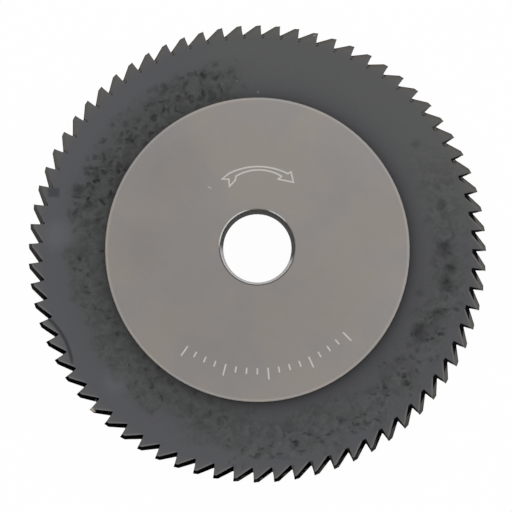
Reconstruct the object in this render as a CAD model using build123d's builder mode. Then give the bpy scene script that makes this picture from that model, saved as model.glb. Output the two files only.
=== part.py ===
from build123d import *
from math import cos, radians, sin, tan
import os

# Solid carbide key cutting wheel: a toothed disc with an 80 degree edge, a raised hub on each face
# and a plain bore. The bore runs along +Z, the origin is the centre of the lower hub's face, and the
# wheel lies flat on that face. Seen from above it turns clockwise, so every cutting face looks
# clockwise. All sizes are millimetres and degrees.

# Overall sizes
outside_diameter = 60.4
overall_thickness = 5.25
bore_diameter = 9.53

# Toothed ring and its edge
ring_thickness = 2.85
tip_flat_width = 1.65
edge_angle = 80.0

# Hub, the ground disc that stands proud of the ring on each face
hub_diameter = 39.0
hub_draft_angle = 10.0
hub_foot_chamfer = 0.25
hub_edge_chamfer = 0.1
bore_chamfer = 0.15

# Teeth, along the flat of the edge and where the flank meets the ring's face
tooth_count = 72
first_tip_angle = 89.1
flat_tooth_depth = 1.37
face_tooth_depth = 1.53
flat_rake_angle = -1.0
face_rake_angle = -5.0
flat_land_length = 0.66
face_land_length = 0.4
land_relief_angle = 8.0
gullet_radius = 0.12

# Sizes that follow
pitch_angle = 360 / tooth_count
middle_height = overall_thickness / 2
flank_depth = (ring_thickness - tip_flat_width) / 2
flank_reach = flank_depth / tan(radians(edge_angle / 2))
flat_tip_radius = outside_diameter / 2
face_tip_radius = flat_tip_radius - flank_reach
ring_top = middle_height + ring_thickness / 2
ring_bottom = middle_height - ring_thickness / 2
flat_top = middle_height + tip_flat_width / 2
flat_bottom = middle_height - tip_flat_width / 2
bore_radius = bore_diameter / 2
hub_radius = hub_diameter / 2
hub_foot = hub_radius + ring_bottom * tan(radians(hub_draft_angle))

# How closely an edge's radius has to agree when it is picked by that radius
radius_tolerance = 0.001


def tooth_corners(index, tip_radius, depth, rake, land):
    """Gullet floor, cutting edge and heel of one tooth, in the order they are met going anticlockwise."""
    angle = radians(first_tip_angle + index * pitch_angle)
    outward = Vector(cos(angle), sin(angle))
    trailing = Vector(-sin(angle), cos(angle))
    edge = outward * tip_radius
    floor = edge - outward * depth + trailing * depth * tan(radians(rake))
    heel = edge + trailing * land - outward * land * tan(radians(land_relief_angle))
    return floor, edge, heel


def rounded_corner(before, corner, after, radius):
    """Start, middle and end of the arc that rounds a corner between two straight lines."""
    to_before = (before - corner).normalized()
    to_after = (after - corner).normalized()
    half_angle = radians(to_before.get_angle(to_after)) / 2
    run = radius / tan(half_angle)
    bisector = (to_before + to_after).normalized()
    middle = corner + bisector * (radius / sin(half_angle) - radius)
    return corner + to_before * run, middle, corner + to_after * run


def toothed_outline(tip_radius, depth, rake, land):
    """Draws the whole toothed edge: a rounded gullet, cutting face, land and straight back for each tooth."""
    teeth = [tooth_corners(i, tip_radius, depth, rake, land) for i in range(tooth_count)]
    gullets = []
    for i in range(tooth_count):
        heel_before = teeth[i - 1][2]
        floor, edge = teeth[i][:2]
        gullets.append(rounded_corner(heel_before, floor, edge, gullet_radius))
    for i in range(tooth_count):
        edge, heel = teeth[i][1:]
        gullet_start, gullet_middle, gullet_end = gullets[i]
        next_gullet_start = gullets[(i + 1) % tooth_count][0]
        ThreePointArc(gullet_start, gullet_middle, gullet_end)
        Line(gullet_end, edge)
        Line(edge, heel)
        Line(heel, next_gullet_start)


def outline_on_flat():
    """Teeth at the full diameter, along the flat of the edge."""
    toothed_outline(flat_tip_radius, flat_tooth_depth, flat_rake_angle, flat_land_length)


def outline_on_face():
    """Teeth where the flank meets the ring's flat face."""
    toothed_outline(face_tip_radius, face_tooth_depth, face_rake_angle, face_land_length)


def round_edges(builder, radius):
    """The circular edges of a radius, such as a hub's rim on both faces."""
    circles = builder.edges().filter_by(GeomType.CIRCLE)
    return circles.filter_by(lambda circle: abs(circle.radius - radius) < radius_tolerance)


with BuildPart() as cutting_wheel:
    # Toothed ring: the flat of the edge, and above and below it a flank that leans in to the ring's face
    with BuildSketch(Plane.XY.offset(flat_bottom)):
        with BuildLine():
            outline_on_flat()
        make_face()
    extrude(amount=tip_flat_width)
    for flat_height, face_height in ((flat_top, ring_top), (flat_bottom, ring_bottom)):
        with BuildSketch(Plane.XY.offset(flat_height)):
            with BuildLine():
                outline_on_flat()
            make_face()
        with BuildSketch(Plane.XY.offset(face_height)):
            with BuildLine():
                outline_on_face()
            make_face()
        loft(ruled=True)

    # Both hubs with their drafted sides, as one turned profile
    with BuildSketch(Plane.XZ):
        with BuildLine():
            Polyline(
                (0, 0),
                (hub_radius, 0),
                (hub_foot, ring_bottom),
                (hub_foot, ring_top),
                (hub_radius, overall_thickness),
                (0, overall_thickness),
                close=True,
            )
        make_face()
    revolve(axis=Axis.Z)
    chamfer(round_edges(cutting_wheel, hub_foot), hub_foot_chamfer)
    chamfer(round_edges(cutting_wheel, hub_radius), hub_edge_chamfer)

    # Bore, chamfered at both mouths
    with BuildSketch():
        Circle(bore_radius)
    extrude(amount=overall_thickness, mode=Mode.SUBTRACT)
    chamfer(round_edges(cutting_wheel, bore_radius), bore_chamfer)

cutting_wheel.part.label = "cutting_wheel"
os.makedirs("parts", exist_ok=True)
export_step(cutting_wheel.part, "parts/cutting_wheel.step")
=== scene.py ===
"""Looks of a solid carbide key cutting wheel: its ground and sintered finish, etched marks and stage."""

from collections import namedtuple
from functools import partial, reduce
from math import cos, radians, sin, tan

import bpy
import numpy as np
from bpy.props import FloatProperty, FloatVectorProperty, IntProperty, PointerProperty
from mathutils import Matrix, Vector


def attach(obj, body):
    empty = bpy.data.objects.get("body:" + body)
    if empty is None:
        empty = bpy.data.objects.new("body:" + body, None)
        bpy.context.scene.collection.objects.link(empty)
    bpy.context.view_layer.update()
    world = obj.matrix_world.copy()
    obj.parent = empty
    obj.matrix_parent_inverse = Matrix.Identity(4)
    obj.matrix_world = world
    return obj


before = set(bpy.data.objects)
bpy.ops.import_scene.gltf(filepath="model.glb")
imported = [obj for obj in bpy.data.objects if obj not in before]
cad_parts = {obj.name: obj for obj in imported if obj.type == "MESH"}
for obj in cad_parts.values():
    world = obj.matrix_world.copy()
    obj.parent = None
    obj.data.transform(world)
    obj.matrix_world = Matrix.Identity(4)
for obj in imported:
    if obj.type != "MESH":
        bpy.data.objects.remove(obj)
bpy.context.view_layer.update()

bl_info = {
    "name": "Key cutting wheel",
    "version": (1, 0, 0),
    "blender": (4, 5, 0),
    "location": "3D View > Sidebar > Wheel",
    "description": "Finish, etched marks and stage for a solid carbide key cutting wheel",
    "category": "Object",
}

MM = 0.001
BODY = "root"
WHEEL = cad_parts["cutting_wheel"]

# Below, lengths are in millimetres, directions in degrees, and places across and up the marked face. A tone
# is the share of the colour that is added, so that -0.5 halves it.

# Borders of surfaces: their softness, where the teeth's looks start beyond the hub's foot, the hub's chamfer
# below its face and the lands inside the outside, and the blur at the hub's foot and at the gullets' floor
LEVEL = 0.01
CLEAR_OF_HUB = (1, 2)
CHAMFER_START = (-0.13, -0.1)
LAND_START = (-0.13, -0.1)
FOOT_BLUR = 0.1

# Soft spots: place, radius and tone. The dark ones have ragged outlines.
DARK_SPOTS = (
    (21.0, 13.6, 1.0, -0.3),
    (23.7, 7.8, 0.7, -0.36),
    (24.3, 5.8, 0.9, -0.43),
    (24.6, -0.1, 1.7, -0.6),
    (25.0, -2.7, 1.3, -0.5),
    (24.7, -4.8, 1.5, -0.5),
    (21.0, -6.1, 0.8, -0.3),
    (23.3, -8.8, 1.4, -0.5),
    (21.2, -11.0, 1.8, -0.5),
    (-23.2, -0.5, 2.4, -0.14),
)
HAZES = (
    (-26.1, 1.6, 3.0, 0.3),
    (-18.3, -17.4, 2.2, 0.25),
)
SPECKS = (
    (0.1, 20.7, 0.22, 1.6),
    (-4.7, 21.8, 0.18, 1.2),
    (-2.7, 22.2, 0.18, 1.2),
)
HUB_CLOUDS = (
    (-11.0, 11.0, 7.5, -0.08),
    (-15.0, 0.0, 5.5, -0.05),
)
SPOT_CORE = 0.15

# Painted glints on two tooth tips, pale and matt: place, radius, and how much of the carbide they hide
TIP_GLINTS = (
    (-21.2, -20.95, 0.52, 1.0),
    (7.7, 28.4, 0.3, 0.5),
)

# Stain on the left teeth: a dark line along a circle, seen over a short stretch, and a paler side inside it
STAIN_CENTRE = (-32.9, -16.3)
STAIN_RADIUS = 9.13
STAIN_MIDDLE = (-25.2, -11.8)
STAIN_REACH = 4.0
STAIN_WIDTH = 0.22
STAIN_TONE = -0.72
PALE_SIDE_TONE = 0.18

# Dark bluish patch at the root of a left tooth: its middle, and where it starts and ends to fade
PATCH_MIDDLE = (-26.8, 7.2)
PATCH_FADE_ACROSS = (0.5, 0.95)
PATCH_FADE_UP = (0.38, 0.76)
PATCH_TONE = -0.4
PATCH_COVER = 0.5

# Short light scratch on the hub
SCRATCH = ((-6.4, 7.8), (-5.9, 7.5))
SCRATCH_WIDTH = 0.07
SCRATCH_TONE = 0.9

# Teeth on the ring's face: pitch and rake in radians, and the land's length and drop
TOOTH_PITCH = radians(5)
FACE_RAKE = radians(5)
FACE_LAND = 0.4
LAND_DROP = 0.06

# Painted shade behind the cutting edges: a dark strip for the cutting faces in shade, its width at the tip,
# how much it widens for each mm of depth, its blur
STRIP_WIDTH = 0.14
STRIP_SPREAD = 0.14
STRIP_BLUR = 0.05
STRIP_TONED = (-76, 34, 14)

# Painted highlight along the arris of the teeth's straight backs: the back's slope in radians
BACK_SLOPE = radians(39.8)
ARRIS_WIDTH = 0.26
ARRIS_TONE = 0.55
ARRIS_HIGHLIGHTED = (-184, 10, 10)

# A zone of the ring's skin: from one direction anticlockwise to another, how far its ends fade, from one
# radius to another, and how far these borders fade
Zone = namedtuple("Zone", "start end fade inner outer border")
MOTTLED_LEFT = Zone(98, 262, 7, 18, 24.7, 0.9)
MOTTLED_RIGHT = Zone(-66, 26, 12, 22.6, 27.2, 0.9)
MOTTLED_BELOW = Zone(-104, -62, 10, 21.6, 27.0, 0.9)
PITTED = Zone(96, 172, 7, 19.8, 25.4, 0.7)
SCALY = Zone(-92, -14, 12, 24.0, 27.2, 0.6)
FLECKED = Zone(-108, -12, 10, 22.4, 27.8, 0.6)

# Stretches of the skin, given as a zone's directions are, and the radii between which they come in
PLAIN = (5, 105, 14)
PLAIN_RISE = (20.5, 23.5)
DIMMED = (-80, 20, 16)
DIMMED_RISE = (21.5, 24.0)
PALE = (120, 300, 20)
OUTWARD_RISE = (22.0, 28.0)

# Tones of those zones and stretches, and how green the mottled ones are
LEFT_TONE = -0.13
RIGHT_TONE = -0.07
PITTED_TONE = -0.07
PLAIN_TONE = 0.07
DIMMED_TONE = -0.05
PALE_TONE = 0.06
OUTWARD_TONE = 0.1
GREENNESS = 0.9

# Cloudy patterns: noise with this many features to the mm, its detail, roughness and warp, the levels between
# which it turns over, and the values on either side of them
Clouds = namedtuple("Clouds", "scale detail roughness warp low high first last")
WANDERING = Clouds(0.33, 2, 0.5, 0, 0.3, 0.7, -0.9, 0.9)
GREEN_PATCHES = Clouds(0.4, 2, 0.5, 0, 0.44, 0.56, 0, 1)
BLOTCHES = Clouds(0.62, 3, 0.55, 0.4, 0.35, 0.62, -0.2, 0.06)
STIPPLE = Clouds(1.7, 3, 0.6, 0.5, 0.36, 0.6, -0.13, 0.07)
FINE_DUST = Clouds(6, 3, 0.7, 0, 0.3, 0.7, -0.06, 0.06)
HUB_TINT = Clouds(0.13, 3, 0.5, 0.6, 0.38, 0.62, 0, 1)
FLANK_DUST = Clouds(0.8, 3, 0.5, 0, 0.4, 0.52, 0, 1)

# Flecks in the cells of a pattern: cells to the mm, where a fleck's core ends and where its rim does, their
# tones, and the random numbers of the cells between which flecks come in
Flecks = namedtuple("Flecks", "scale core rim dark light none all")
LEFT_FLECKS = Flecks(1.05, 0.15, 0.45, -0.4, 0, 0.35, 0.65)
PITS = Flecks(0.9, 0.2, 0.55, -0.5, 0, 0.2, 0.5)
SCALES = Flecks(0.95, 0.12, 0.5, -0.55, 0.06, 0.1, 0.5)
FINE_FLECKS = Flecks(1.15, 0.08, 0.42, -0.34, 0, 0.46, 0.58)

# How the scales lie, and how they are drawn out across and up
SCALE_TURN = radians(-38)
SCALE_STRETCH = (0.75, 1.3, 1)

# Noise that bends the zones, and noise that frays the flecks: features to the mm, and reach
BEND = (0.5, 1.6)
FRAY = (1.5, 1.3)

# Shade beside the hub: how fast it fades, its tone at the foot, and how that changes round the hub
FOOT_FADE = 1.05
FOOT_TONE = -0.54
FOOT_SLANT = (-0.13, 0.13, 0)

# Share of the tooth's own colour at its tip, and where it starts inside the gullets
TIP_SHARE = 0.8
TIP_START = 0.3

# Hub face: a pale smear across it, a painted highlight on its rim, and painted light on its edge and lower
# right
# side, as ramps: from where, to where, and the tones before and after. The rim's places are from the hub's
# rim.
SMEAR_HEADING = (0.5, 0.86, 0)
SMEAR_RISE = (-3.0, 5.0)
SMEAR_FALL = (5.0, 13.0)
SMEAR_TONE = 0.03
RIM_HIGHLIGHT = (-0.3, -0.12, 0, 0.28)
PALE_EDGE = (14.0, 18.5, 0, 0.03)
SIDE_HEADING = (0.6, -0.8, 0)
PALE_SIDE = (6.0, 18.0, 0, 0.05)

# Darker gullets: where the dark reaches higher, how high above the gullet's floor it reaches, and how it
# fades
GULLET_DARK_LEFT = (-172, -90, 10)
GULLET_DARK_RIGHT = (-92, 14, 14)
GULLET_DARK_HEIGHT = 0.25
GULLET_DARK_HEIGHT_LEFT = 0.6
GULLET_DARK_HEIGHT_RIGHT = 1.0
GULLET_DARK_FADE = (-0.2, 0.12)

# Flanks: a darker outer edge, as a ramp, and dust on the outer half of the near ones. Heights are above the
# edge's flat.
OUTER_EDGE = (0.03, 0.2, 0.45, 1)
DUST_HEIGHT = (0.25, 0.4)
DUSTY = (-98, -60, 6)
DUST_INSIDE = (0.5, 0.25)
DUST_BLUR = 0.15
DUST_COLOURS = (0.0, 0.35)
DUST_DULLS = (0.35, 0.8)

# Bore: where its wall and its chamfer end, outwards from it, where its wall is painted light on the side that
# faces the lamp, with the chamfer there painted darker as painted shade, and where the chamfer has painted
# glints
WALL_END = (0.03, 0.06)
CHAMFER_END = (0.15, 0.19)
BORE_LIT_HEADING = (0.15, 1, 0)
BORE_LIT_FADE = (-0.3, -0.05)
CHAMFER_SHADE = 0.7
CHAMFER_GLINT_LEFT = (106, 176, 8)
CHAMFER_GLINT_RIGHT = (44, 70, 6)

# Share of metal in the skin and on the hub, and roughness that isn't set by a property
SKIN_METAL = 0.15
HUB_METAL = 0.95
BORE_ROUGHNESS = 0.85
ROUGH_FLANK = 0.16
ROUGH_GRAIN = (0.45, 0.7)

# Grain of each ground finish, and how much the skin's marks and the hub's grain lift the surface
HUB_GRAIN = {"Size": 0.16, "Depth": 0.16}
FLANK_GRAIN = {"Size": 0.3, "Depth": 0.15}
MARK_GRAIN = {"Size": 0.12, "Depth": 0.5}
SKIN_LIFT = 0.6
HUB_LIFT = 0.35

# Middle of a noise colour, taken off so that it shifts a place either way
NOISE_MIDDLE = (0.5, 0.5, 0.5)


def mesh_points(piece):
    """All vertices of a mesh as an array with one row for each, in millimetres."""
    points = np.empty(len(piece.data.vertices) * 3)
    piece.data.vertices.foreach_get("co", points)
    return points.reshape(-1, 3) / MM


class WheelSizes:
    """Radii, and heights above or below the wheel's middle plane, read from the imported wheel, in mm."""

    def __init__(self, points):
        radius = np.hypot(points[:, 0], points[:, 1])
        self.top = points[:, 2].max()
        self.middle = (self.top + points[:, 2].min()) / 2
        height = np.abs(points[:, 2] - self.middle)
        self.outside = radius.max()
        self.bore = radius.min()
        self.hub_height = height.max()
        on_hub_face = height > self.hub_height - LEVEL
        self.hub_rim = radius[on_hub_face].max()
        in_teeth = radius > (self.hub_rim + self.outside) / 2
        self.ring_height = height[in_teeth].max()
        on_ring_face = np.abs(height - self.ring_height) < LEVEL
        self.hub_foot = radius[on_ring_face].min()
        self.face_tip = radius[on_ring_face].max()
        self.face_root = radius[on_ring_face & in_teeth].min()
        self.flat_height = height[radius > self.outside - LEVEL].max()
        tip = points[on_ring_face][radius[on_ring_face].argmax()]
        self.tip_heading = float(np.arctan2(tip[1], tip[0]))


SIZES = WheelSizes(mesh_points(WHEEL))


def a_number(name, text, default):
    """A plain number that a user can change."""
    return FloatProperty(name=name, description=text, default=default)


def a_length(name, text, default):
    """A length that a user can change, given in millimetres."""
    return FloatProperty(
        name=name, description=text, default=default * MM, unit="LENGTH", subtype="DISTANCE")


def an_angle(name, text, default):
    """An angle that a user can change, given in degrees."""
    return FloatProperty(
        name=name, description=text, default=radians(default), unit="ROTATION", subtype="ANGLE")


def a_colour(name, text, default):
    """A colour that a user can change."""
    return FloatVectorProperty(name=name, description=text, size=3, default=default, subtype="COLOR")


def a_place(name, text, default):
    """A place that a user can change, given in millimetres."""
    default = tuple(value * MM for value in default)
    return FloatVectorProperty(
        name=name, description=text, size=3, default=default, unit="LENGTH", subtype="TRANSLATION")


class StageSettings(bpy.types.PropertyGroup):
    """Where the camera stands, and how large and bright the stage is."""

    camera_place: a_place(
        "Camera place", "From the middle of the marked hub face to the lens", (-0.046, -2.278, 56.06))
    camera_tilt: an_angle(
        "Camera tilt", "Lean from straight down towards the far edge", 3.2)
    lens: a_number("Lens", "Focal length on a 36 mm sensor, in millimetres", 30.83)
    lens_shift: FloatVectorProperty(
        name="Lens shift", description="Shares of the picture's width, across and up",
        size=2, default=(-0.002, -0.031))
    floor_reach: a_length("Floor reach", "From the wheel to the floor's edge", 600)
    floor_colour: a_colour("Floor colour", "Pale floor", (0.86, 0.86, 0.86))
    floor_glow: a_number("Floor glow", "Share of the floor's white that no shadow dims", 0.97)
    sky_level: a_number("Studio level", "Brightness of the studio overhead", 0.94)
    lamp_power: a_number("Lamp power", "Softbox beyond the wheel's far edge, in watts", 0.2)
    lamp_size: a_length("Lamp size", "Side of the square softbox", 500)
    lamp_place: a_place("Lamp place", "From the wheel's foot to the softbox", (150, 350, 600))
    card_distance: a_length("Card distance", "From the wheel's axis to the ring of card", 32.5)
    card_height: a_length("Card height", "Height of the ring of card", 7)
    card_heading: an_angle("Darkest side", "Direction in which the card is black", 242)
    card_black: an_angle("Black stretch", "How far round the card stays black, either way", 36)
    card_fade: an_angle("Fade", "Where the card's black has turned to its grey, either way", 92)
    card_grey: a_number("Card grey", "Brightness of the card's grey side", 0.11)
    card_dark: a_number("Card black", "Brightness of the card's black side", 0.002)
    card_tint: a_colour("Card tint", "Warm tint of the card", (1.0, 0.95, 0.89))


class FinishSettings(bpy.types.PropertyGroup):
    """Colours and roughness of the wheel's surfaces."""

    ring_green: a_colour(
        "Ring, green grey", "Skin of the ring where it is mottled or plain", (0.071, 0.073, 0.072))
    ring_violet: a_colour(
        "Ring, violet grey", "Skin of the ring elsewhere", (0.071, 0.072, 0.079))
    tooth_colour: a_colour(
        "Tooth tip", "Warm grey that the teeth fade to at their tips", (0.092, 0.089, 0.086))
    patch_colour: a_colour("Patch", "Bluish patch on a left tooth", (0.028, 0.036, 0.046))
    ring_roughness: a_number("Ring roughness", "Matt sintered skin", 0.62)
    hub_warm: a_colour(
        "Hub, warm grey", "Warmer clouds on the ground hub faces", (0.281, 0.256, 0.237))
    hub_cool: a_colour(
        "Hub, cool grey", "Cooler clouds on the ground hub faces", (0.261, 0.247, 0.239))
    hub_roughness: a_number("Hub roughness", "Satin of the ground hub faces", 0.42)
    flank_colour: a_colour("Ground flank", "Bright ground flanks of the teeth", (0.92, 0.905, 0.885))
    flank_roughness: a_number("Flank roughness", "Polish of the ground flanks", 0.08)
    wall_colour: a_colour(
        "Gullet wall", "Dark walls of the gullets", (0.006, 0.0055, 0.005))
    land_colour: a_colour(
        "Ground land", "Satin of the lands at the tooth tips", (0.2, 0.195, 0.19))
    bore_colour: a_colour("Bore", "Dull wall of the bore", (0.028, 0.026, 0.024))
    bore_lit_colour: a_colour(
        "Bore, painted light", "Painted light on the side of the bore's wall that faces the lamp", (0.74, 0.73, 0.72))
    chamfer_glint_colour: a_colour(
        "Chamfer, painted glint", "Painted glints on two stretches of the bore's chamfer", (0.92, 0.92, 0.91))
    dust_colour: a_colour("Dust", "Dry brown dust on the near flanks", (0.06, 0.052, 0.044))
    tip_glint_colour: a_colour("Tip, painted glint", "Painted glints on two tooth tips", (0.62, 0.54, 0.39))
    mark_colour: a_colour("Etched mark", "Pale etched lines on the hub", (0.56, 0.54, 0.515))


class MarkSettings(bpy.types.PropertyGroup):
    """Sizes of the etched arrow and of the graduation."""

    stroke: a_length("Stroke", "Width of an etched line", 0.205)
    film: a_length("Film", "How far an etched line stands above the hub face", 0.005)
    tick_count: IntProperty(
        name="Ticks", description="Lines of the plain graduation, one for each tooth pitch", default=17)
    tick_start: an_angle("First tick", "Direction of the first line", -125)
    tick_pitch: an_angle("Tick pitch", "Angle between lines, the pitch of the teeth", 5)
    tick_foot: a_length("Tick foot", "Radius where the lines start", 15.3)
    tick_length: a_length("Tick length", "Length of a short line", 0.8)
    long_tick_length: a_length("Long tick length", "Length of every fourth line", 1.5)


class Net:
    """A node tree being filled. Each method adds one node, joins its inputs and gives back its output."""

    def __init__(self, tree):
        self.tree = tree

    def add(self, kind, inputs=(), **settings):
        """Adds a node of a kind, with its settings, and fills the inputs given as sockets and values."""
        node = self.tree.nodes.new(kind)
        for name, value in settings.items():
            setattr(node, name, value)
        for key, value in dict(inputs).items():
            self.fill(node.inputs[key], value)
        return node

    def fill(self, socket, value):
        """Joins an output to a socket, or sets the socket's own value, opaque if it is a colour."""
        if isinstance(value, bpy.types.NodeSocket):
            self.tree.links.new(value, socket)
        elif socket.type == "RGBA":
            socket.default_value = (*value, 1.0)
        else:
            socket.default_value = value

    def less(self, first, second):
        """The first value less the second."""
        return self.maths("SUBTRACT", first, second)

    def maths(self, operation, *values):
        return self.add("ShaderNodeMath", enumerate(values), operation=operation).outputs[0]

    def times(self, *values):
        """All values multiplied together."""
        return reduce(partial(self.maths, "MULTIPLY"), values)

    def total(self, *values):
        """All values added together."""
        return reduce(partial(self.maths, "ADD"), values)

    def most(self, first, second):
        """The greater of two values."""
        return self.maths("MAXIMUM", first, second)

    def outside(self, mask):
        """1 where a mask is 0, and 0 where it is 1."""
        return self.less(1.0, mask)

    def vectors(self, operation, *values):
        node = self.add("ShaderNodeVectorMath", enumerate(values), operation=operation)
        return node.outputs["Value" if operation in ("LENGTH", "DOT_PRODUCT", "DISTANCE") else "Vector"]

    def scaled(self, vector, factor):
        """A vector or colour times a number."""
        node = self.add("ShaderNodeVectorMath", {0: vector, "Scale": factor}, operation="SCALE")
        return node.outputs["Vector"]

    def ramp(self, value, start, end, low=0.0, high=1.0):
        """Low before start, high after end, and a smooth step between them."""
        inputs = {"Value": value, "From Min": start, "From Max": end, "To Min": low, "To Max": high}
        return self.add("ShaderNodeMapRange", inputs, interpolation_type="SMOOTHSTEP").outputs["Result"]

    def fall(self, value, start, end):
        """1 before start, 0 after end, and a smooth step between them."""
        return self.ramp(value, start, end, 1.0, 0.0)

    def mix(self, factor, first, second):
        """Colour that goes from the first to the second as the factor goes from 0 to 1."""
        node = self.add("ShaderNodeMix", {0: factor, 6: first, 7: second}, data_type="RGBA")
        return node.outputs[2]

    def layered(self, colour, *layers):
        """A colour with others laid over it in turn, each given after its mask."""
        for mask, layer in layers:
            colour = self.mix(mask, colour, layer)
        return colour

    def blend(self, factor, first, second):
        """Number that goes from the first to the second as the factor goes from 0 to 1."""
        return self.add("ShaderNodeMix", {0: factor, 2: first, 3: second}, data_type="FLOAT").outputs[0]

    def noise(self, vector, scale, detail=2.0, roughness=0.5, warp=0.0):
        """A noise texture, whose outputs are Fac and Color."""
        return self.add("ShaderNodeTexNoise", {
            "Vector": vector, "Scale": scale, "Detail": detail, "Roughness": roughness, "Distortion": warp,
        }).outputs

    def cells(self, vector, scale):
        """Distance to the nearest cell's middle, and a random number for each cell."""
        node = self.add("ShaderNodeTexVoronoi", {"Vector": vector, "Scale": scale})
        chance = self.add("ShaderNodeSeparateColor", {0: node.outputs["Color"]}).outputs[0]
        return node.outputs["Distance"], chance

    def group(self, tree, **inputs):
        """A node group with its named inputs filled."""
        node = self.add("ShaderNodeGroup", node_tree=tree)
        for name, value in inputs.items():
            self.fill(node.inputs[name], value)
        return node.outputs

    def skin(self, colour, metallic, roughness, height, bump, depth):
        """The surface of a piece, with bumps of a strength and of a depth in millimetres."""
        normal = self.add("ShaderNodeBump", {"Strength": bump, "Distance": depth * MM, "Height": height})
        self.close(self.add("ShaderNodeBsdfPrincipled", {
            "Base Color": colour, "Metallic": metallic, "Roughness": roughness, "Normal": normal.outputs[0]}))

    def close(self, shader):
        """Ends a material's tree in a shader."""
        self.add("ShaderNodeOutputMaterial", {"Surface": shader.outputs[0]})


def new_material(name):
    """An empty node material and the net that fills it."""
    material = bpy.data.materials.new(name)
    material.use_nodes = True
    material.node_tree.nodes.clear()
    return material, Net(material.node_tree)


def grain_group():
    """Fine ground grain: a colour multiplied by two scales of noise, and the height that goes with it."""
    broad_scale = 0.12
    broad_share = 0.3
    tree = bpy.data.node_groups.new("ground_grain", "ShaderNodeTree")
    for name, way, kind in (
            ("Colour", "INPUT", "Color"), ("Place", "INPUT", "Vector"), ("Size", "INPUT", "Float"),
            ("Depth", "INPUT", "Float"), ("Colour", "OUTPUT", "Color"), ("Height", "OUTPUT", "Float")):
        tree.interface.new_socket(name, in_out=way, socket_type="NodeSocket" + kind)
    net = Net(tree)
    start = net.add("NodeGroupInput").outputs
    end = net.add("NodeGroupOutput").inputs
    frequency = net.maths("DIVIDE", 1.0, start["Size"])
    fine = net.noise(start["Place"], frequency, 3.0, 0.6)["Fac"]
    broad = net.noise(start["Place"], net.times(frequency, broad_scale), 2.0, 0.5)["Fac"]
    height = net.total(net.times(fine, 1 - broad_share), net.times(broad, broad_share))
    change = net.times(net.less(height, NOISE_MIDDLE[0]), start["Depth"])
    net.fill(end["Colour"], net.scaled(start["Colour"], net.total(change, 1.0)))
    net.fill(end["Height"], height)
    return tree


# Place on the object, place on the face, distance from the axis, and height above and off the middle plane
Place = namedtuple("Place", "point across radius from_middle off_middle")

# Masks that tell the wheel's surfaces apart
Surfaces = namedtuple("Surfaces", "hub hub_rim ring flank wall bore chamfer marked")


def wheel_place(net):
    """Where a point of the wheel is, from its Object coordinates."""
    point = net.scaled(net.add("ShaderNodeTexCoord").outputs["Object"], 1 / MM)
    across = net.vectors("MULTIPLY", point, (1, 1, 0))
    height = net.add("ShaderNodeSeparateXYZ", {0: point}).outputs["Z"]
    from_middle = net.less(height, SIZES.middle)
    radius = net.vectors("LENGTH", across)
    return Place(point, across, radius, from_middle, net.maths("ABSOLUTE", from_middle))


def wheel_surfaces(net, at):
    """The wheel's surfaces, told apart by their radius and height."""
    hub = net.ramp(at.off_middle, SIZES.hub_height - 2 * LEVEL, SIZES.hub_height - LEVEL)
    ring = net.ramp(at.off_middle, SIZES.ring_height - 2 * LEVEL, SIZES.ring_height - LEVEL)
    from_foot = net.less(at.radius, SIZES.hub_foot)
    beyond_hub = net.ramp(from_foot, *CLEAR_OF_HUB)
    above_flat = net.ramp(at.off_middle, SIZES.flat_height, SIZES.flat_height + LEVEL)
    beyond_bore = net.ramp(at.radius, SIZES.bore + WALL_END[0], SIZES.bore + WALL_END[1])
    in_chamfer = net.fall(at.radius, SIZES.bore + CHAMFER_END[0], SIZES.bore + CHAMFER_END[1])
    return Surfaces(
        hub=hub,
        hub_rim=net.times(
            net.fall(from_foot, -FOOT_BLUR, 0.0), net.outside(hub),
            net.ramp(net.less(at.off_middle, SIZES.hub_height), *CHAMFER_START)),
        ring=ring,
        flank=net.times(beyond_hub, net.outside(ring), above_flat),
        wall=net.times(beyond_hub, net.outside(above_flat)),
        bore=net.outside(beyond_bore),
        chamfer=net.times(beyond_bore, in_chamfer),
        marked=net.ramp(at.from_middle, 0.0, LEVEL))


def along(net, at, heading):
    """How far a place on the face lies in a direction."""
    return net.vectors("DOT_PRODUCT", at.across, heading)


def sector(net, across, radius, start, end, fade):
    """1 from one direction round to another, anticlockwise, and 0 elsewhere, by the cosine to its middle."""
    direction = radians((start + end) / 2)
    half_width = (end - start) / 2
    aligned = net.vectors("DOT_PRODUCT", across, (cos(direction), sin(direction), 0))
    cosine = net.maths("DIVIDE", aligned, radius)
    outer = min(half_width + fade, 180)
    return net.ramp(cosine, cos(radians(outer)), cos(radians(half_width - fade)))


def stretch(net, at, directions):
    """1 on a stretch round the wheel, given as its start, its end and their fade, and 0 elsewhere."""
    return sector(net, at.across, at.radius, *directions)


def band(net, value, start, end, softness):
    """1 between start and end, 0 outside them, with soft borders."""
    rise = net.ramp(value, start - softness, start + softness)
    return net.times(rise, net.fall(value, end - softness, end + softness))


def zoned(net, at, across, distance, zone):
    """1 in a zone of the skin and 0 outside it, at a place and at a distance from the axis."""
    directions = sector(net, across, at.radius, zone.start, zone.end, zone.fade)
    return net.times(directions, band(net, distance, zone.inner, zone.outer, zone.border))


def spots(net, across, rows):
    """Sum of soft round spots, each with its own tone."""
    changes = []
    for x, y, reach, tone in rows:
        distance = net.vectors("DISTANCE", across, (x, y, 0))
        changes.append(net.ramp(distance, SPOT_CORE * reach, reach, tone, 0.0))
    return net.total(*changes)


def clouds(net, vector, pattern):
    """A cloudy pattern: noise, turned over smoothly between two levels."""
    noise = net.noise(vector, pattern.scale, pattern.detail, pattern.roughness, pattern.warp)["Fac"]
    return net.ramp(noise, pattern.low, pattern.high, pattern.first, pattern.last)


def flecks(net, vector, pattern, zone):
    """Dark flecks in a zone, one in the middle of each cell whose random number lets one in."""
    distance, chance = net.cells(vector, pattern.scale)
    fleck = net.ramp(distance, pattern.core, pattern.rim, pattern.dark, pattern.light)
    return net.times(fleck, net.ramp(chance, pattern.none, pattern.all), zone)


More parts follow.
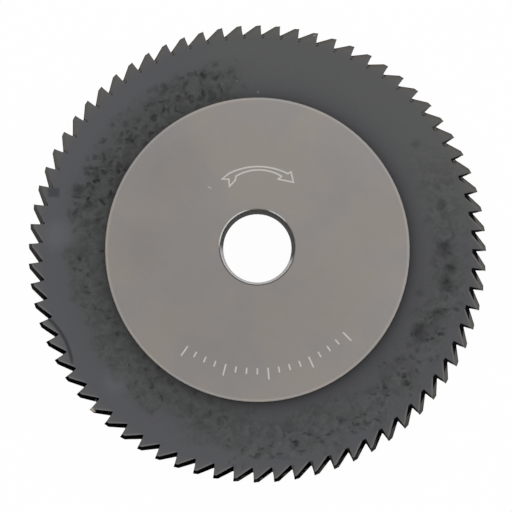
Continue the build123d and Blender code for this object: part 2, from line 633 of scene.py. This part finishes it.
def bent(net, across, looked_up, scale, reach):
    """A place on the face, moved about by noise looked up at another place."""
    noise = net.noise(looked_up, scale, 3.0)["Color"]
    shift = net.scaled(net.vectors("SUBTRACT", noise, NOISE_MIDDLE), reach)
    return net.vectors("MULTIPLY", net.vectors("ADD", across, shift), (1, 1, 0))


def ring_shade(net, at, warped):
    """Mottling of the ring: how much lighter or darker each place is, and how green it is."""
    frayed = bent(net, warped, warped, *FRAY)
    turned = {"Vector": frayed, "Rotation": (0, 0, SCALE_TURN), "Scale": SCALE_STRETCH}
    slanted = net.add("ShaderNodeMapping", turned).outputs[0]
    wandering = net.total(at.radius, clouds(net, at.point, WANDERING))
    left, right, below = (
        zoned(net, at, warped, wandering, zone) for zone in (MOTTLED_LEFT, MOTTLED_RIGHT, MOTTLED_BELOW))
    right = net.most(right, below)
    pitted = zoned(net, at, at.across, at.radius, PITTED)
    scaly = zoned(net, at, at.across, wandering, SCALY)
    flecked = zoned(net, at, at.across, wandering, FLECKED)
    plain = net.times(stretch(net, at, PLAIN), net.ramp(at.radius, *PLAIN_RISE))
    # A darker stretch on the lower right of the outer ring
    dimmed = net.times(stretch(net, at, DIMMED), net.ramp(at.radius, *DIMMED_RISE))
    outward = net.ramp(at.radius, *OUTWARD_RISE)
    pale = net.times(stretch(net, at, PALE), outward)

    cloudy = net.total(clouds(net, warped, BLOTCHES), clouds(net, warped, STIPPLE))
    marks = net.total(
        net.times(net.most(left, right), cloudy),
        flecks(net, frayed, LEFT_FLECKS, left),
        flecks(net, frayed, PITS, pitted),
        flecks(net, slanted, SCALES, scaly),
        flecks(net, warped, FINE_FLECKS, flecked))
    tones = net.total(*(net.times(mask, tone) for mask, tone in (
        (left, LEFT_TONE), (right, RIGHT_TONE), (pitted, PITTED_TONE), (plain, PLAIN_TONE), (dimmed, DIMMED_TONE),
        (pale, PALE_TONE), (outward, OUTWARD_TONE))))
    mottled_green = net.most(left, net.times(right, clouds(net, warped, GREEN_PATCHES)))
    green = net.most(net.times(mottled_green, GREENNESS), plain)
    return net.total(marks, tones), green


def foot_shade(net, at):
    """Painted shade on the ring beside the hub: darkest at the hub's foot, and least dark on the upper left.
    """
    outside = net.less(at.radius, SIZES.hub_foot)
    fading = net.maths("EXPONENT", net.maths("DIVIDE", outside, -FOOT_FADE))
    slant = net.maths("DIVIDE", along(net, at, FOOT_SLANT), at.radius)
    return net.times(fading, net.total(FOOT_TONE, slant))


def on_tooth(net, at):
    """Distance behind the tooth's cutting edge and depth below its tip, on the ring's face.

    Both come from the angle from the last cutting edge, run back a little first so that the edge's foot is on
    its own tooth."""
    run_back = 0.1
    sides = net.add("ShaderNodeSeparateXYZ", {0: at.across}).outputs
    heading = net.maths("ARCTAN2", sides["Y"], sides["X"])
    teeth_round = net.maths("DIVIDE", net.less(heading, SIZES.tip_heading), TOOTH_PITCH)
    phase = net.less(net.maths("FRACT", net.total(teeth_round, run_back)), run_back)
    angle = net.times(phase, TOOTH_PITCH)
    depth = net.less(SIZES.face_tip, net.times(at.radius, net.maths("COSINE", angle)))
    return net.times(at.radius, net.maths("SINE", angle)), depth


def highlighted_arris(net, at, behind, depth):
    """1 on the thin painted highlight along the backs of the left and lower teeth, from how far inside them a
    place is.
    """
    inside = net.total(
        net.times(net.less(depth, LAND_DROP), cos(BACK_SLOPE)),
        net.times(net.less(behind, FACE_LAND), -sin(BACK_SLOPE)))
    line = net.fall(inside, ARRIS_WIDTH / 2, ARRIS_WIDTH)
    above_gullet = net.ramp(at.radius, SIZES.face_root - FOOT_BLUR, SIZES.face_root + FOOT_BLUR)
    return net.times(line, above_gullet, stretch(net, at, ARRIS_HIGHLIGHTED))


def shaded_fronts(net, at, behind, depth):
    """1 on the strip of painted shade behind the cutting edges of the lower right teeth, wider towards the
    gullet.
    """
    from_edge = net.total(behind, net.times(depth, tan(FACE_RAKE) - STRIP_SPREAD))
    strip = net.fall(from_edge, STRIP_WIDTH - STRIP_BLUR, STRIP_WIDTH + STRIP_BLUR)
    gullet_depth = SIZES.face_tip - SIZES.face_root
    above_gullet = net.fall(depth, gullet_depth - 2 * STRIP_BLUR, gullet_depth + STRIP_BLUR)
    return net.times(strip, above_gullet, stretch(net, at, STRIP_TONED))


def stained(net, at):
    """Tone of the stain on the left teeth: its dark line, and the paler side inside the circle."""
    from_middle = net.vectors("DISTANCE", at.across, (*STAIN_MIDDLE, 0))
    nearby = net.fall(from_middle, 0.7 * STAIN_REACH, STAIN_REACH)
    from_centre = net.vectors("DISTANCE", at.across, (*STAIN_CENTRE, 0))
    inner = STAIN_RADIUS - STAIN_WIDTH
    line = band(net, from_centre, inner, STAIN_RADIUS + STAIN_WIDTH, STAIN_WIDTH / 2)
    pale = net.fall(from_centre, inner, STAIN_RADIUS)
    tones = net.total(net.times(line, STAIN_TONE), net.times(pale, PALE_SIDE_TONE))
    return net.times(tones, nearby)


def patched(net, at):
    """1 inside the dark patch, which is nearly square, and 0 outside it."""
    offset = net.vectors("SUBTRACT", at.across, (*PATCH_MIDDLE, 0))
    sides = net.add("ShaderNodeSeparateXYZ", {0: net.vectors("ABSOLUTE", offset)}).outputs
    return net.times(net.fall(sides["X"], *PATCH_FADE_ACROSS), net.fall(sides["Y"], *PATCH_FADE_UP))


def scratched(net, at):
    """1 along the short scratch on the hub: near its line and near its middle."""
    start, end = (Vector(point) for point in SCRATCH)
    run = (end - start).normalized()
    middle = (start + end) / 2
    offset = net.vectors("SUBTRACT", at.across, (*middle, 0))
    beside = net.maths("ABSOLUTE", net.vectors("DOT_PRODUCT", offset, (-run.y, run.x, 0)))
    reach = (end - start).length / 2
    near = net.fall(net.vectors("LENGTH", offset), 0.8 * reach, reach)
    return net.times(net.fall(beside, SCRATCH_WIDTH / 2, SCRATCH_WIDTH), near)


def ring_finish(net, settings, at, warped, tooth, marked):
    """Sintered skin of the ring: its colour, and how much lighter or darker its marks are."""
    change, green = ring_shade(net, at, warped)
    patch = patched(net, at)
    placed = net.total(
        spots(net, warped, DARK_SPOTS), spots(net, at.across, HAZES + SPECKS),
        stained(net, at), net.times(patch, PATCH_TONE))
    change = net.total(change, net.times(placed, marked))
    # The ring's tone, times the painted shade beside the hub
    shade = net.times(
        net.total(change, clouds(net, at.point, FINE_DUST), 1.0), net.total(foot_shade(net, at), 1.0))
    # Painted highlight along the backs of the left and lower teeth
    arris = net.times(highlighted_arris(net, at, *tooth), marked, ARRIS_TONE)
    at_tip = net.ramp(at.radius, SIZES.face_root - TIP_START, SIZES.face_tip)
    colour = net.mix(green, settings.ring_violet, settings.ring_green)
    colour = net.mix(net.times(at_tip, TIP_SHARE), colour, settings.tooth_colour)
    colour = net.scaled(colour, net.total(shade, arris))
    colour = net.mix(net.times(patch, marked, PATCH_COVER), colour, settings.patch_colour)
    return colour, change


def hub_finish(net, settings, grain, at, warped, marked):
    """Ground hub faces: their colour and the height of their grain."""
    tint = net.mix(clouds(net, at.point, HUB_TINT), settings.hub_cool, settings.hub_warm)
    ground = net.group(grain, Colour=tint, Place=at.point, **HUB_GRAIN)
    smeared = along(net, at, SMEAR_HEADING)
    smear = net.times(net.ramp(smeared, *SMEAR_RISE), net.fall(smeared, *SMEAR_FALL), SMEAR_TONE)
    marks = net.total(spots(net, warped, HUB_CLOUDS), net.times(scratched(net, at), SCRATCH_TONE))
    # Painted highlight on the hub's rim, and painted light towards its edge and its lower right side
    shade = net.total(
        net.ramp(net.less(at.radius, SIZES.hub_rim), *RIM_HIGHLIGHT),
        net.ramp(at.radius, *PALE_EDGE),
        net.ramp(along(net, at, SIDE_HEADING), *PALE_SIDE),
        smear, net.times(marks, marked), 1.0)
    return net.scaled(ground["Colour"], shade), ground["Height"]


def flank_finish(net, settings, grain, at, marked):
    """Ground flanks: their colour, their roughness, and 1 where neither dust nor the painted glints dull
    them.
    """
    above_flat = net.less(at.off_middle, SIZES.flat_height)
    ground = net.group(grain, Colour=settings.flank_colour, Place=at.point, **FLANK_GRAIN)
    edge = net.ramp(above_flat, *OUTER_EDGE)
    start, end = SIZES.face_tip - DUST_INSIDE[0], SIZES.outside - DUST_INSIDE[1]
    near_tip = band(net, at.radius, start, end, DUST_BLUR)
    dusty = net.times(
        stretch(net, at, DUSTY), clouds(net, at.point, FLANK_DUST), near_tip,
        net.fall(above_flat, *DUST_HEIGHT))
    # Painted glints on two tooth tips, pale and matt
    tip_glint = net.times(spots(net, at.across, TIP_GLINTS), marked)
    colour = net.layered(
        net.scaled(ground["Colour"], edge),
        (net.ramp(dusty, *DUST_COLOURS), settings.dust_colour),
        (tip_glint, settings.tip_glint_colour))
    roughness = net.ramp(ground["Height"], *ROUGH_GRAIN, settings.flank_roughness, ROUGH_FLANK)
    return colour, roughness, net.outside(net.most(net.ramp(dusty, *DUST_DULLS), tip_glint))


def walls_and_lands(net, at, tooth, on):
    """Masks of the dark gullet walls, with the darker gullet floors and the painted shade behind the cutting
    edges, and of the satin lands at the tips.
    """
    # Gullet floors darker, reaching higher on the lower left and the lower right
    height = net.blend(stretch(net, at, GULLET_DARK_LEFT), GULLET_DARK_HEIGHT, GULLET_DARK_HEIGHT_LEFT)
    height = net.blend(stretch(net, at, GULLET_DARK_RIGHT), height, GULLET_DARK_HEIGHT_RIGHT)
    above_gullet = net.less(at.radius, SIZES.face_root)
    darkened = net.fall(net.less(above_gullet, height), *GULLET_DARK_FADE)
    from_outside = net.less(at.radius, SIZES.outside)
    land = net.times(on.wall, net.ramp(from_outside, *LAND_START))
    wall = net.most(net.less(on.wall, land), net.times(on.flank, darkened))
    # Painted shade behind the cutting edges of the lower right teeth
    front = net.times(shaded_fronts(net, at, *tooth), on.ring, on.marked)
    return net.most(wall, front), land


def carbide_material(settings, grain):
    """The wheel's one material, with its surfaces laid over each other by their masks."""
    material, net = new_material("carbide_finish")
    at = wheel_place(net)
    tooth = on_tooth(net, at)
    warped = bent(net, at.across, at.point, *BEND)
    on = wheel_surfaces(net, at)
    wall, land = walls_and_lands(net, at, tooth, on)
    ring_colour, change = ring_finish(net, settings, at, warped, tooth, on.marked)
    hub_colour, hub_height = hub_finish(net, settings, grain, at, warped, on.marked)
    flank_colour, flank_roughness, clean = flank_finish(net, settings, grain, at, on.marked)

    # Painted light on the bore's wall on the side that faces the lamp, and painted shade on the chamfer there
    upward = net.maths("DIVIDE", along(net, at, BORE_LIT_HEADING), at.radius)
    bore_lit = net.fall(upward, *BORE_LIT_FADE)
    # Painted glints on the chamfer's upper left and upper right stretches
    bright = net.most(stretch(net, at, CHAMFER_GLINT_LEFT), stretch(net, at, CHAMFER_GLINT_RIGHT))
    bore_colour = net.mix(bore_lit, settings.bore_colour, settings.bore_lit_colour)
    colour = net.layered(
        ring_colour,
        (on.flank, flank_colour),
        (land, settings.land_colour),
        (wall, settings.wall_colour),
        (net.most(on.hub, on.hub_rim), hub_colour),
        (on.bore, bore_colour),
        (net.times(on.chamfer, bore_lit, CHAMFER_SHADE), settings.bore_colour),
        (net.times(on.chamfer, bright), settings.chamfer_glint_colour))

    hub = net.times(on.hub, net.outside(on.bore))
    bright_flank = net.times(on.flank, clean)
    metallic = net.blend(hub, SKIN_METAL, HUB_METAL)
    metallic = net.blend(net.most(bright_flank, wall), metallic, 1.0)
    roughness = net.blend(bright_flank, settings.ring_roughness, flank_roughness)
    roughness = net.blend(hub, roughness, settings.hub_roughness)
    roughness = net.blend(on.bore, roughness, BORE_ROUGHNESS)

    skin_grain = net.noise(at.point, 4.0, 4.0, 0.65)["Fac"]
    skin_height = net.total(net.times(change, SKIN_LIFT), skin_grain)
    height = net.blend(on.hub, skin_height, net.times(hub_height, HUB_LIFT))
    height = net.times(height, net.outside(on.flank))
    net.skin(colour, metallic, roughness, height, bump=0.25, depth=0.03)
    return material


def mark_material(settings, grain):
    """Etched lines: pale and matt, with a fine grain."""
    material, net = new_material("etched_mark")
    point = net.scaled(net.add("ShaderNodeTexCoord").outputs["Object"], 1 / MM)
    etched = net.group(grain, Colour=settings.mark_colour, Place=point, **MARK_GRAIN)
    net.skin(etched["Colour"], 0.0, 0.75, etched["Height"], bump=0.3, depth=0.02)
    return material


def floor_material(settings):
    """Pale floor that looks white to the camera and in reflections, and keeps the wheel's shadow."""
    material, net = new_material("pale_floor")
    lit = net.add("ShaderNodeBsdfDiffuse", {"Color": settings.floor_colour})
    white = net.add("ShaderNodeEmission", {"Color": (1, 1, 1), "Strength": 1.0})
    path = net.add("ShaderNodeLightPath").outputs
    seen = net.most(net.most(path["Is Camera Ray"], path["Is Glossy Ray"]), path["Is Transmission Ray"])
    glow = net.times(seen, settings.floor_glow)
    top = net.add("ShaderNodeMixShader", {0: glow, 1: lit.outputs[0], 2: white.outputs[0]})
    behind = net.add("ShaderNodeNewGeometry").outputs["Backfacing"]
    clear = net.add("ShaderNodeBsdfTransparent")
    net.close(net.add("ShaderNodeMixShader", {0: behind, 1: top.outputs[0], 2: clear.outputs[0]}))
    return material


def card_material(settings):
    """Card that glows by itself: black on its darkest side, fading to grey round the ring."""
    material, net = new_material("card")
    heading = (cos(settings.card_heading), sin(settings.card_heading), 0)
    place = net.add("ShaderNodeTexCoord").outputs["Object"]
    aligned = net.maths("DIVIDE", net.vectors("DOT_PRODUCT", place, heading), settings.card_distance)
    fade = net.ramp(
        aligned, cos(settings.card_fade), cos(settings.card_black), settings.card_grey, settings.card_dark)
    net.close(net.add("ShaderNodeEmission", {"Color": settings.card_tint, "Strength": fade}))
    return material


def linked(name, data):
    """A new object with its data, put into the scene."""
    holder = bpy.data.objects.new(name, data)
    bpy.context.scene.collection.objects.link(holder)
    return holder


def mesh_piece(name, points, faces):
    """A mesh object from rows of points and lists of their numbers."""
    mesh = bpy.data.meshes.new(name)
    mesh.from_pydata(points.tolist(), [], faces)
    mesh.update()
    return linked(name, mesh)


def grid_piece(name, points, closed_rows=False, closed_columns=False):
    """A mesh object from a grid of points, rows by columns by three, joined round where it is closed."""
    rows, columns = points.shape[:2]
    index = np.arange(rows * columns).reshape(rows, columns)
    if closed_rows:
        index = np.vstack([index, index[:1]])
    if closed_columns:
        index = np.hstack([index, index[:, :1]])
    quads = np.stack([index[:-1, :-1], index[:-1, 1:], index[1:, 1:], index[1:, :-1]], axis=-1)
    return mesh_piece(name, points.reshape(-1, 3), quads.reshape(-1, 4).tolist())


def film_levels(settings):
    """Heights of an etched line's foot, sunk a little into the hub, and of its top."""
    sunk_films = 4
    top = SIZES.top * MM
    return top - sunk_films * settings.film, top + settings.film


def arc_through(start, middle, end, steps):
    """Points along the circle through three points: its centre is where two bisectors meet."""
    a, b, c = (np.array(point, float) for point in (start, middle, end))
    sides = 2 * np.array([b - a, c - a])
    centre = np.linalg.solve(sides, [b @ b - a @ a, c @ c - a @ a])
    angles = [np.arctan2(*(point - centre)[::-1]) for point in (a, c)]
    turn = (angles[1] - angles[0] + np.pi) % (2 * np.pi) - np.pi
    angle = angles[0] + turn * np.linspace(0, 1, steps)
    return centre + np.linalg.norm(a - centre) * np.stack([np.cos(angle), np.sin(angle)], axis=1)


def arrow_outline():
    """The rotation arrow's closed outline: a bowed shaft with an open head and a swallow tail."""
    arc_steps = 24
    outer = arc_through((-3.7, 9.46), (0.28, 10.38), (3.92, 9.46), arc_steps)
    inner = arc_through((3.13, 9.11), (0.37, 9.94), (-2.74, 9.14), arc_steps)
    head = np.array([(4.35, 9.67), (4.65, 8.33), (2.71, 8.75)])
    tail = np.array([(-2.86, 8.58), (-3.6, 7.79), (-3.68, 8.73), (-4.56, 8.75)])
    return np.vstack([outer, head, inner, tail])


def line_band(name, path, settings):
    """A closed line of even width with square sides: a four-cornered profile carried round the path.

    At each point the profile is set out along the mean of the two neighbouring sides' normals, lengthened by
    one over the cosine of half the turn, so that the width stays even at corners."""
    ahead = np.roll(path, -1, axis=0) - path
    ahead /= np.linalg.norm(ahead, axis=1)[:, None]
    normals = np.stack([-ahead[:, 1], ahead[:, 0]], axis=1)
    mean = normals + np.roll(normals, 1, axis=0)
    mean /= np.linalg.norm(mean, axis=1)[:, None]
    longest = 2.2
    least_cosine = 0.01
    lengthened = np.minimum(1 / np.maximum((mean * normals).sum(axis=1), least_cosine), longest)
    out = path + mean * lengthened[:, None] * settings.stroke / 2
    inn = path - mean * lengthened[:, None] * settings.stroke / 2
    low, high = film_levels(settings)
    corners = ((out, low), (out, high), (inn, high), (inn, low))
    rings = [np.column_stack([side, np.full(len(path), z)]) for side, z in corners]
    return grid_piece(name, np.stack(rings), closed_rows=True, closed_columns=True)


def make_arrow(settings, material):
    """The etched rotation arrow on the marked face."""
    arrow = line_band("rotation_arrow", arrow_outline() * MM, settings)
    arrow.data.materials.append(material)
    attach(arrow, BODY)


def make_graduation(settings, material):
    """A plain graduation of radial lines, each a flat bar with round ends, one for every tooth pitch.

    The bar's outline is a circle pulled apart along the line: each point on it moves out or in by half the
    line's length less the width. The outline is set out at a low and at a high level."""
    numbers = np.arange(settings.tick_count)
    angle = settings.tick_start + numbers * settings.tick_pitch
    long_every = 4
    length = np.where(numbers % long_every == 0, settings.long_tick_length, settings.tick_length)[:, None]
    corners = 12
    turn = (np.arange(corners) + 0.5) * 2 * np.pi / corners
    half_width = settings.stroke / 2
    from_middle = half_width * np.cos(turn) + np.sign(np.cos(turn)) * (length / 2 - half_width)
    beside = np.broadcast_to(half_width * np.sin(turn), from_middle.shape)
    radial = settings.tick_foot + length / 2 + from_middle
    heading = np.stack([np.cos(angle), np.sin(angle)], axis=1)
    x = radial * heading[:, :1] - beside * heading[:, 1:]
    y = radial * heading[:, 1:] + beside * heading[:, :1]
    outlines = [np.stack([x, y, np.full_like(x, z)], axis=2) for z in film_levels(settings)]
    first = 2 * corners * numbers[:, None]
    here = np.arange(corners)
    low, low_next = first + here, first + (here + 1) % corners
    sides = np.stack([low, low_next, low_next + corners, low + corners], axis=-1)
    faces = sides.reshape(-1, 4).tolist() + (low + corners).tolist() + low[:, ::-1].tolist()
    graduation = mesh_piece("graduation", np.stack(outlines, axis=1).reshape(-1, 3), faces)
    graduation.data.materials.append(material)
    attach(graduation, BODY)


def make_floor(settings):
    """A flat square at the wheel's foot: both parameters run from edge to edge, and the height is zero."""
    steps = np.linspace(-settings.floor_reach, settings.floor_reach, 3)
    x, y = np.meshgrid(steps, steps, indexing="xy")
    floor = grid_piece("floor", np.stack([x, y, np.zeros_like(x)], axis=-1))
    floor.data.materials.append(floor_material(settings))


def make_card(settings):
    """A ring of card stood on the floor, black on the near left and grey elsewhere, for reflections alone.

    One parameter runs round it, at one distance from the axis, and the other up it."""
    angle = np.linspace(0, 2 * np.pi, 96, endpoint=False)
    height = np.array([[0.0], [settings.card_height]])
    x, y, z = np.broadcast_arrays(
        settings.card_distance * np.cos(angle), settings.card_distance * np.sin(angle), height)
    card = grid_piece("card_ring", np.stack([x, y, z], axis=-1), closed_columns=True)
    card.data.materials.append(card_material(settings))
    card.visible_camera = False
    card.visible_diffuse = False
    card.visible_shadow = False
    card.visible_transmission = False


def make_world(settings):
    """Studio surround: even overhead, and near the horizon white on the far side and black on the near."""
    far_heading = (0.34, 0.94, 0.0)
    horizon_turn = (-0.25, 0.35)
    horizon_levels = (0.004, 1.0)
    overhead_rise = (0.3, 0.55)
    world = bpy.data.worlds.new("studio")
    bpy.context.scene.world = world
    world.use_nodes = True
    world.node_tree.nodes.clear()
    net = Net(world.node_tree)
    direction = net.add("ShaderNodeTexCoord").outputs["Generated"]
    far_side = net.vectors("DOT_PRODUCT", direction, far_heading)
    horizon = net.ramp(far_side, *horizon_turn, *horizon_levels)
    height = net.add("ShaderNodeSeparateXYZ", {0: direction}).outputs["Z"]
    level = net.blend(net.ramp(height, *overhead_rise), horizon, settings.sky_level)
    studio = net.add("ShaderNodeBackground", {"Color": (1, 1, 1), "Strength": level})
    white = net.add("ShaderNodeBackground", {"Color": (1, 1, 1), "Strength": 1.0})
    seen = net.add("ShaderNodeLightPath").outputs["Is Camera Ray"]
    surface = net.add("ShaderNodeMixShader", {0: seen, 1: studio.outputs[0], 2: white.outputs[0]})
    net.add("ShaderNodeOutputWorld", {"Surface": surface.outputs[0]})


def make_lamp(settings):
    """A square softbox beyond the far edge, turned to the wheel."""
    lamp = bpy.data.lights.new("softbox", "AREA")
    lamp.shape = "SQUARE"
    lamp.size = settings.lamp_size
    lamp.energy = settings.lamp_power
    holder = linked("softbox", lamp)
    holder.location = settings.lamp_place
    holder.rotation_euler = Vector(settings.lamp_place).to_track_quat("Z", "Y").to_euler()


def make_camera(settings):
    """A camera nearly straight above the marked face, leaning a little towards the far edge."""
    data = bpy.data.cameras.new("camera")
    data.lens = settings.lens
    data.shift_x, data.shift_y = settings.lens_shift
    data.clip_start = 2 * MM
    camera = linked("camera", data)
    camera.location = Vector((0, 0, SIZES.top * MM)) + Vector(settings.camera_place)
    camera.rotation_euler = Matrix.Rotation(settings.camera_tilt, 3, "X").to_euler()
    bpy.context.scene.camera = camera


def shared_grain():
    """The grain group, made once and used by both finishes."""
    return bpy.data.node_groups.get("ground_grain") or grain_group()


def shared_mark_material(settings):
    """The etched finish, made once and used by the arrow and the graduation."""
    return bpy.data.materials.get("etched_mark") or mark_material(settings, shared_grain())


class WHEEL_OT_finish(bpy.types.Operator):
    """Give the wheel its ground and sintered finish"""

    bl_idname = "wheel.finish"
    bl_label = "Finish the wheel"

    def execute(self, context):
        WHEEL.data.materials.clear()
        WHEEL.data.materials.append(carbide_material(context.scene.wheel_finish, shared_grain()))
        return {"FINISHED"}


class WHEEL_OT_arrow(bpy.types.Operator):
    """Etch the rotation arrow on the marked face"""

    bl_idname = "wheel.arrow"
    bl_label = "Etch the arrow"

    def execute(self, context):
        make_arrow(context.scene.wheel_marks, shared_mark_material(context.scene.wheel_finish))
        return {"FINISHED"}


class WHEEL_OT_graduation(bpy.types.Operator):
    """Etch the plain graduation on the marked face"""

    bl_idname = "wheel.graduation"
    bl_label = "Etch the graduation"

    def execute(self, context):
        make_graduation(context.scene.wheel_marks, shared_mark_material(context.scene.wheel_finish))
        return {"FINISHED"}


class WHEEL_OT_stage(bpy.types.Operator):
    """Add the floor, the ring of card, the studio light and the camera"""

    bl_idname = "wheel.stage"
    bl_label = "Set the stage"

    def execute(self, context):
        settings = context.scene.wheel_stage
        make_floor(settings)
        make_card(settings)
        make_world(settings)
        make_lamp(settings)
        make_camera(settings)
        context.scene.view_settings.view_transform = "Standard"
        return {"FINISHED"}


class WHEEL_PT_sidebar(bpy.types.Panel):
    """Lists the steps that finish the wheel"""

    bl_idname = "WHEEL_PT_sidebar"
    bl_label = "Key cutting wheel"
    bl_space_type = "VIEW_3D"
    bl_region_type = "UI"
    bl_category = "Wheel"

    def draw(self, context):
        for operator in OPERATORS:
            self.layout.operator(operator.bl_idname)


OPERATORS = (WHEEL_OT_finish, WHEEL_OT_arrow, WHEEL_OT_graduation, WHEEL_OT_stage)
SETTINGS = {"wheel_finish": FinishSettings, "wheel_marks": MarkSettings, "wheel_stage": StageSettings}


def register():
    for group in SETTINGS.values():
        bpy.utils.register_class(group)
    for name, group in SETTINGS.items():
        setattr(bpy.types.Scene, name, PointerProperty(type=group))
    for operator in OPERATORS:
        bpy.utils.register_class(operator)
    bpy.utils.register_class(WHEEL_PT_sidebar)


def unregister():
    bpy.utils.unregister_class(WHEEL_PT_sidebar)
    for operator in reversed(OPERATORS):
        bpy.utils.unregister_class(operator)
    for name, group in SETTINGS.items():
        delattr(bpy.types.Scene, name)
        bpy.utils.unregister_class(group)


def main():
    """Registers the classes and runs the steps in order."""
    register()
    bpy.ops.wheel.finish()
    bpy.ops.wheel.arrow()
    bpy.ops.wheel.graduation()
    bpy.ops.wheel.stage()


if __name__ == "__main__":
    main()
